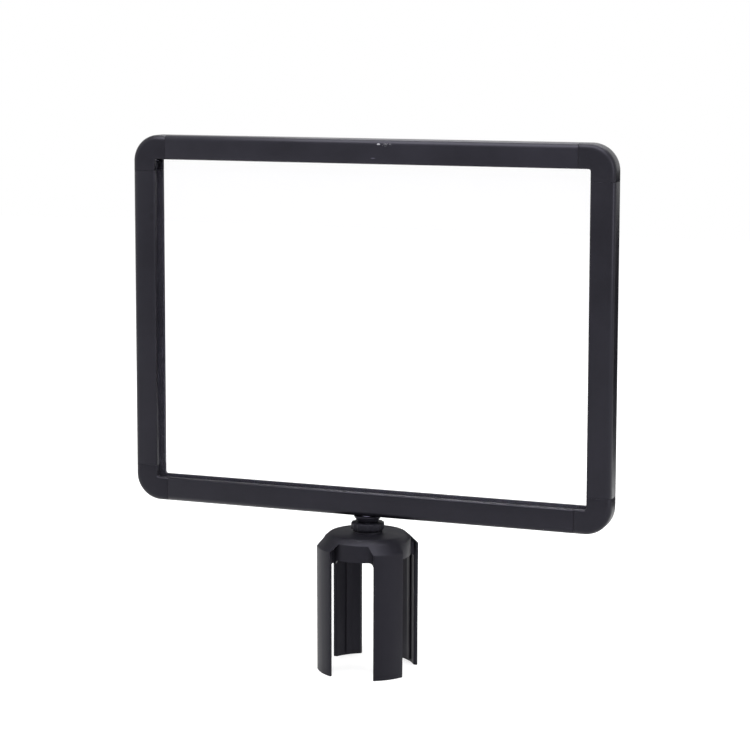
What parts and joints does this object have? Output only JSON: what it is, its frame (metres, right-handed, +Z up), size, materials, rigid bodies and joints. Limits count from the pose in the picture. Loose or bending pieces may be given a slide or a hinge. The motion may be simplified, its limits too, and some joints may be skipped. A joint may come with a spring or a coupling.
{
  "type": "post-top sign frame",
  "caption": "Landscape sign frame with clear covers on a short swivel neck over a four-legged cap that sits on a barrier post.",
  "frame": {"origin": "centre of the cap's leg ring, at the ends of the four legs", "axes": "+Z up along the swivel axis, +X to the right along the sign frame, -Y is the front"},
  "size_m": [0.3178, 0.0578, 0.3362],
  "materials": {
    "cap_plastic": "satin black moulding",
    "elbow_plastic": "satin black moulding",
    "ring_plastic": "matt black moulding",
    "rail_metal": "satin black coating on aluminium",
    "steel": "bright zinc plated",
    "nylon": "natural nylon",
    "clear_sheet": "clear acrylic sheet"
  },
  "bodies": {
    "cap": {"post_cap": "cap_plastic", "swivel_bush": "nylon", "thrust_washer": "ring_plastic"},
    "frame": {"stem_collar": "cap_plastic", "swivel_bolt": "steel", "plain_washer": "steel", "spring_washer": "steel", "anchor_plate": "steel", "bottom_rail": "rail_metal", "left_rail": "rail_metal", "right_rail": "rail_metal", "elbow_bottom_left": "elbow_plastic", "elbow_bottom_right": "elbow_plastic"},
    "lock_ring": {"lock_ring": "ring_plastic"},
    "top_section": {"top_rail": "rail_metal", "elbow_top_left": "elbow_plastic", "elbow_top_right": "elbow_plastic"},
    "front_cover": {"front_cover_sheet": "clear_sheet"},
    "rear_cover": {"rear_cover_sheet": "clear_sheet"}
  },
  "joints": [
    {"name": "frame_swivel", "type": "hinge", "parent": "cap", "child": "frame", "pos_m": [0, 0, 0.095], "axis": [0, 0, 1], "continuous": true},
    {"name": "lock_ring_turn", "type": "hinge", "parent": "frame", "child": "lock_ring", "pos_m": [0, 0, 0.091], "axis": [0, 0, 1], "range_deg": [-180, 0]},
    {"name": "top_section_lift", "type": "slide", "parent": "frame", "child": "top_section", "axis": [0, 0, 1], "range_m": [0, 0.045]},
    {"name": "front_cover_lift", "type": "slide", "parent": "frame", "child": "front_cover", "axis": [0, 0, 1], "range_m": [0, 0.045]},
    {"name": "rear_cover_lift", "type": "slide", "parent": "frame", "child": "rear_cover", "axis": [0, 0, 1], "range_m": [0, 0.045]}
  ],
  "couplings": [
    {"joint": "front_cover_lift", "follows": "top_section_lift", "ratio": 1},
    {"joint": "rear_cover_lift", "follows": "top_section_lift", "ratio": 1}
  ]
}
